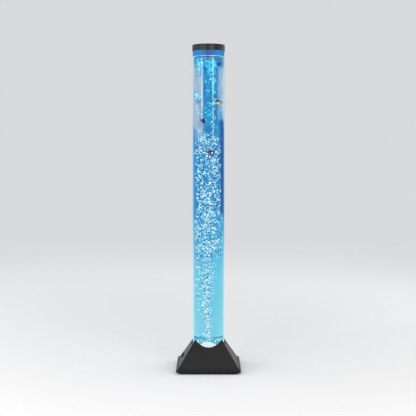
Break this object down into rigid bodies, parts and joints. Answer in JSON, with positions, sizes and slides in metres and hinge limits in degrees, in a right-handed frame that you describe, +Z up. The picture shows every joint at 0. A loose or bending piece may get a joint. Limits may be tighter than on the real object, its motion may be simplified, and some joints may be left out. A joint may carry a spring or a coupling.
{
  "type": "bubble tube floor lamp",
  "caption": "Free-standing bubble tube lamp: a tall clear water tube on a scalloped pyramid base with an air pump and light ring, a domed lift-off cap and floating fish.",
  "frame": {"origin": "centre of the base on the floor, under the rubber feet, on the tube's axis", "axes": "+Z up along the tube; -Y towards the front face; +X to the right seen from the front; the rocker switch is on the -X face and the power socket on the +Y face"},
  "size_m": [0.2, 0.2, 1.02],
  "materials": {
    "black_plastic": "satin, finely textured moulding",
    "cap_plastic": "smooth semi-gloss moulding",
    "black_gloss": "gloss moulding",
    "clear_acrylic": "polished clear acrylic",
    "white_plastic": "plain moulding",
    "pump_plastic": "plain moulding",
    "rubber_black": "soft, matt",
    "silicone_clear": "translucent silicone",
    "valve_plastic": "translucent moulding",
    "steel": "zinc-plated",
    "iron": "laminated iron, varnished",
    "magnet": "nickel-plated",
    "copper": "enamelled copper wire",
    "circuit_board": "green solder mask",
    "led_white": "white package with a clear lens",
    "chip_black": "moulded package",
    "can_silver": "drawn can",
    "fish_brown": "painted, brown over a yellow belly",
    "fish_purple": "painted, dark purple with a blue tail",
    "fish_red": "painted, red with black spots and a green tail",
    "fish_navy": "painted, navy",
    "fish_dark": "painted, dark blue",
    "fish_blue": "painted, mid blue"
  },
  "bodies": {
    "base": {"base_cover": "black_plastic", "bottom_plate": "black_plastic", "rubber_feet": "rubber_black", "cover_screws": "steel", "seat_screws": "steel", "tube_seat": "black_plastic", "tube_gasket": "rubber_black", "acrylic_tube": "clear_acrylic", "tube_floor": "clear_acrylic", "air_nozzle": "valve_plastic", "nozzle_seal": "rubber_black", "nozzle_nut": "white_plastic", "lower_hose": "silicone_clear", "upper_hose": "silicone_clear", "valve_inlet": "valve_plastic", "valve_outlet": "valve_plastic", "led_board": "circuit_board", "led_lamps": "led_white", "led_board_screws": "steel", "control_board": "circuit_board", "board_screws": "steel", "board_capacitors": "can_silver", "board_chips": "chip_black", "board_sockets": "white_plastic", "pump_case": "pump_plastic", "pump_lid": "pump_plastic", "pump_pads": "rubber_black", "pump_valve_block": "white_plastic", "pump_bellows": "rubber_black", "pump_pivot_pin": "steel", "pump_core": "iron", "pump_coil": "copper", "switch_body": "black_gloss", "power_socket": "black_gloss", "socket_nut": "steel"},
    "pump_arm": {"pump_arm": "white_plastic", "pump_magnet": "magnet"},
    "rocker": {"switch_rocker": "black_gloss"},
    "valve_disc": {"valve_disc": "rubber_black"},
    "cap": {"top_cap": "cap_plastic", "cap_seal": "rubber_black"},
    "brown_fish": {"brown_fish": "fish_brown"},
    "purple_fish": {"purple_fish": "fish_purple"},
    "red_fish": {"red_fish": "fish_red"},
    "navy_fish": {"navy_fish": "fish_navy"},
    "dark_fish": {"dark_fish": "fish_dark"},
    "blue_fish": {"blue_fish": "fish_blue"}
  },
  "joints": [
    {"name": "cap_lift", "type": "slide", "parent": "base", "child": "cap", "axis": [0, 0, 1], "range_m": [0, 0.15]},
    {"name": "rocker_tilt", "type": "hinge", "parent": "base", "child": "rocker", "pos_m": [-0.08429, 0.02443, 0.03619], "axis": [0, 1, 0], "range_deg": [0, 20]},
    {"name": "pump_arm_swing", "type": "hinge", "parent": "base", "child": "pump_arm", "pos_m": [0.01911, 0, 0.028], "axis": [0, 1, 0], "range_deg": [-1.5, 1.5], "stiffness_Nm_per_rad": 0.6, "deforming": ["pump_bellows"]},
    {"name": "valve_disc_lift", "type": "slide", "parent": "base", "child": "valve_disc", "axis": [-1, 0, 0], "range_m": [0, 0.0014]},
    {"name": "brown_fish_rise", "type": "slide", "parent": "base", "child": "brown_fish", "axis": [0, 0, 1], "range_m": [-0.754, 0.126]},
    {"name": "purple_fish_rise", "type": "slide", "parent": "base", "child": "purple_fish", "axis": [0, 0, 1], "range_m": [-0.695, 0.185]},
    {"name": "red_fish_rise", "type": "slide", "parent": "base", "child": "red_fish", "axis": [0, 0, 1], "range_m": [-0.594, 0.286]},
    {"name": "navy_fish_rise", "type": "slide", "parent": "base", "child": "navy_fish", "axis": [0, 0, 1], "range_m": [-0.853, 0.027]},
    {"name": "dark_fish_rise", "type": "slide", "parent": "base", "child": "dark_fish", "axis": [0, 0, 1], "range_m": [-0.869, 0.011]},
    {"name": "blue_fish_rise", "type": "slide", "parent": "base", "child": "blue_fish", "axis": [0, 0, 1], "range_m": [-0.754, 0.126]}
  ]
}
